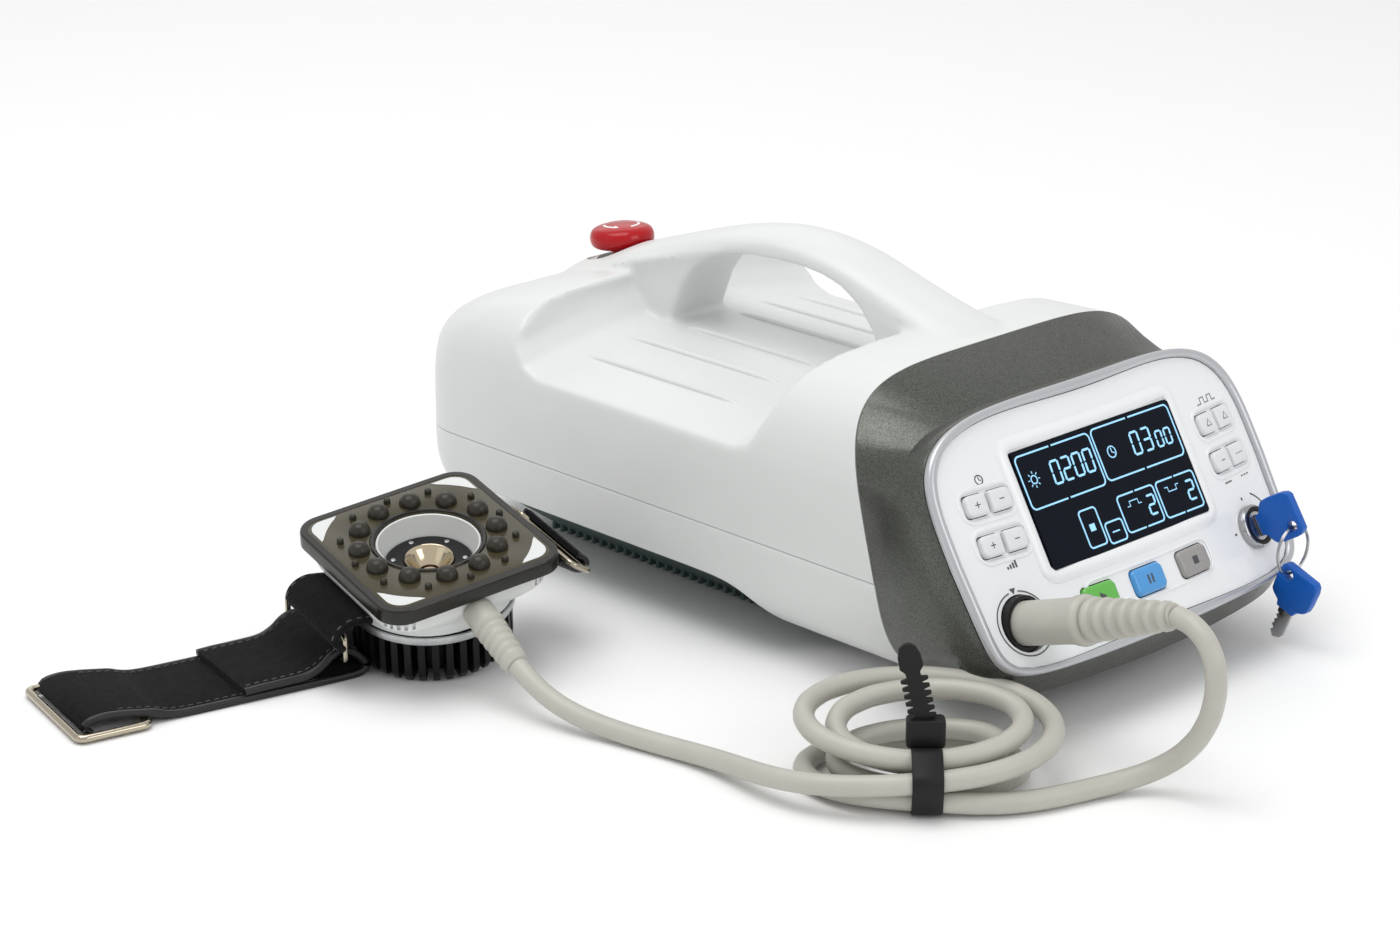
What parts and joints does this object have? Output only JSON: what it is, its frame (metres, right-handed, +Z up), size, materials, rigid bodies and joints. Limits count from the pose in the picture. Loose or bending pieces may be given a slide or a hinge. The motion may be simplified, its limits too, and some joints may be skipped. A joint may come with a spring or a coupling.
{
  "type": "laser therapy device",
  "caption": "Portable laser therapy console with carrying handle, tilted control panel, key switch, coiled lead and a strap-on contact probe.",
  "frame": {"origin": "on the table under the middle of the overall box of the console, probe and strap, the free lead and what is on it left out", "axes": "+X to the operator's right, +Y from the control panel towards the rear, +Z up"},
  "size_m": [0.453, 0.4613, 0.157],
  "materials": {
    "band_grey": "metallic grey paint",
    "black_plastic": "black",
    "board_green": "circuit board green",
    "buckle_nickel": "nickel plated",
    "button_blue": "blue",
    "button_green": "green",
    "button_grey": "grey",
    "can_steel": "plain",
    "chrome": "polished",
    "cone_champagne": "polished, champagne tint",
    "display_glass": "dark glossy window",
    "key_blue": "blue",
    "key_white": "white",
    "lead_grey": "warm light grey",
    "pan_dark": "dark textured",
    "panel_white": "glossy white",
    "plate_smoke": "smoked translucent",
    "rim_silver": "satin silver",
    "rubber_black": "matt black",
    "shell_white": "satin white moulding",
    "sink_black": "black anodised",
    "stop_red": "glossy red",
    "strap_black": "black brushed cloth"
  },
  "bodies": {
    "console": {"base_pan": "pan_dark", "bezel_rim": "rim_silver", "cable_tie": "rubber_black", "contact_plate": "plate_smoke", "display_module": "board_green", "display_window": "display_glass", "foot_front_left": "rubber_black", "foot_front_right": "rubber_black", "foot_rear_left": "rubber_black", "foot_rear_right": "rubber_black", "front_band": "band_grey", "front_panel": "panel_white", "heat_sink": "sink_black", "key_switch_body": "chrome", "keypad_board": "board_green", "laser_diode": "can_steel", "laser_driver": "can_steel", "lead_coil": "lead_grey", "lead_front": "lead_grey", "lead_rear": "lead_grey", "left_strap_loop": "strap_black", "lower_housing": "shell_white", "main_board": "board_green", "mains_inlet": "black_plastic", "optic_cone": "cone_champagne", "optic_disc": "black_plastic", "power_supply": "can_steel", "probe_housing": "shell_white", "probe_plug": "lead_grey", "probe_socket": "black_plastic", "probe_strain_relief": "lead_grey", "right_strap_loop": "strap_black", "stop_collar": "black_plastic", "stop_contacts": "black_plastic", "strap": "strap_black", "upper_housing": "shell_white"},
    "time_up_key": {"time_up_key": "key_white"},
    "power_up_key": {"power_up_key": "key_white"},
    "time_down_key": {"time_down_key": "key_white"},
    "power_down_key": {"power_down_key": "key_white"},
    "on_time_key": {"on_time_key": "key_white"},
    "continuous_key": {"continuous_key": "key_white"},
    "off_time_key": {"off_time_key": "key_white"},
    "cycle_key": {"cycle_key": "key_white"},
    "start_button": {"start_button": "button_green"},
    "wait_button": {"wait_button": "button_blue"},
    "stop_button": {"stop_button": "button_grey"},
    "key_rotor": {"key_switch_rotor": "can_steel", "inserted_key_blade": "chrome", "inserted_key_head": "key_blue"},
    "key_ring": {"key_ring": "chrome"},
    "spare_key": {"spare_key_head": "key_blue", "spare_key_blade": "chrome"},
    "stop_plunger": {"stop_plunger": "stop_red"},
    "stop_head": {"stop_head": "stop_red"},
    "mains_switch": {"mains_switch": "black_plastic"},
    "fuse_drawer": {"fuse_drawer": "black_plastic"},
    "right_strap_ring": {"right_strap_ring": "buckle_nickel"},
    "left_strap_ring": {"left_strap_ring": "buckle_nickel"},
    "strap_buckle": {"strap_buckle": "buckle_nickel"}
  },
  "joints": [
    {"name": "time_up_key_press", "type": "slide", "parent": "console", "child": "time_up_key", "axis": [0.0966, 0.8549, -0.5096], "range_m": [0, 0.0008], "stiffness_N_per_m": 300, "springref_m": -0.0008},
    {"name": "power_up_key_press", "type": "slide", "parent": "console", "child": "power_up_key", "axis": [0.0966, 0.8549, -0.5096], "range_m": [0, 0.0008], "stiffness_N_per_m": 300, "springref_m": -0.0008},
    {"name": "time_down_key_press", "type": "slide", "parent": "console", "child": "time_down_key", "axis": [0.0807, 0.8562, -0.5104], "range_m": [0, 0.0008], "stiffness_N_per_m": 300, "springref_m": -0.0008},
    {"name": "power_down_key_press", "type": "slide", "parent": "console", "child": "power_down_key", "axis": [0.0807, 0.8562, -0.5104], "range_m": [0, 0.0008], "stiffness_N_per_m": 300, "springref_m": -0.0008},
    {"name": "on_time_key_press", "type": "slide", "parent": "console", "child": "on_time_key", "axis": [-0.0861, 0.8558, -0.5101], "range_m": [0, 0.0008], "stiffness_N_per_m": 300, "springref_m": -0.0008},
    {"name": "continuous_key_press", "type": "slide", "parent": "console", "child": "continuous_key", "axis": [-0.0861, 0.8558, -0.5101], "range_m": [0, 0.0008], "stiffness_N_per_m": 300, "springref_m": -0.0008},
    {"name": "off_time_key_press", "type": "slide", "parent": "console", "child": "off_time_key", "axis": [-0.1019, 0.8545, -0.5094], "range_m": [0, 0.0008], "stiffness_N_per_m": 300, "springref_m": -0.0008},
    {"name": "cycle_key_press", "type": "slide", "parent": "console", "child": "cycle_key", "axis": [-0.1019, 0.8545, -0.5094], "range_m": [0, 0.0008], "stiffness_N_per_m": 300, "springref_m": -0.0008},
    {"name": "start_button_press", "type": "slide", "parent": "console", "child": "start_button", "axis": [0.0413, 0.8582, -0.5116], "range_m": [0, 0.0012], "stiffness_N_per_m": 350, "springref_m": -0.001},
    {"name": "wait_button_press", "type": "slide", "parent": "console", "child": "wait_button", "axis": [0.0046, 0.859, -0.512], "range_m": [0, 0.0012], "stiffness_N_per_m": 350, "springref_m": -0.001},
    {"name": "stop_button_press", "type": "slide", "parent": "console", "child": "stop_button", "axis": [-0.0329, 0.8585, -0.5118], "range_m": [0, 0.0012], "stiffness_N_per_m": 350, "springref_m": -0.001},
    {"name": "key_turn", "type": "hinge", "parent": "console", "child": "key_rotor", "pos_m": [0.19774, -0.16245, 0.05001], "axis": [-0.0913, 0.8554, -0.5099], "range_deg": [0, 90]},
    {"name": "key_ring_swing", "type": "hinge", "parent": "key_rotor", "child": "key_ring", "pos_m": [0.19984, -0.18209, 0.05591], "axis": [-1, 0, 0], "range_deg": [0, 60]},
    {"name": "spare_key_swing", "type": "hinge", "parent": "key_ring", "child": "spare_key", "pos_m": [0.19984, -0.18209, 0.03371], "axis": [-1, 0, 0], "range_deg": [0, 50]},
    {"name": "emergency_stop_push", "type": "slide", "parent": "console", "child": "stop_plunger", "axis": [0, -0.0872, -0.9962], "range_m": [0, 0.004], "stiffness_N_per_m": 900, "springref_m": -0.002},
    {"name": "emergency_stop_twist", "type": "hinge", "parent": "stop_plunger", "child": "stop_head", "pos_m": [0.12454, 0.14972, 0.1215], "axis": [0, -0.0872, -0.9962], "range_deg": [0, 45], "stiffness_Nm_per_rad": 0.05},
    {"name": "mains_switch_rock", "type": "hinge", "parent": "console", "child": "mains_switch", "pos_m": [0.12004, 0.19272, 0.07], "axis": [1, 0, 0], "range_deg": [0, 12]},
    {"name": "fuse_drawer_slide", "type": "slide", "parent": "console", "child": "fuse_drawer", "axis": [0, 1, 0], "range_m": [0, 0.012]},
    {"name": "right_ring_swing", "type": "hinge", "parent": "console", "child": "right_strap_ring", "pos_m": [-0.01672, 0.05304, 0.045], "axis": [-0.1618, -0.9717, -0.1721], "range_deg": [0, 60]},
    {"name": "left_ring_swing", "type": "hinge", "parent": "console", "child": "left_strap_ring", "pos_m": [-0.10463, 0.09412, 0.0216], "axis": [-0.2225, -0.9749, 0], "range_deg": [-10, 10]},
    {"name": "buckle_flip", "type": "hinge", "parent": "console", "child": "strap_buckle", "pos_m": [-0.18985, 0.11357, 0.0022], "axis": [0.2225, 0.9749, 0], "range_deg": [0, 120]}
  ],
  "couplings": [
    {"joint": "key_ring_swing", "follows": "key_turn", "ratio": 0.65}
  ]
}
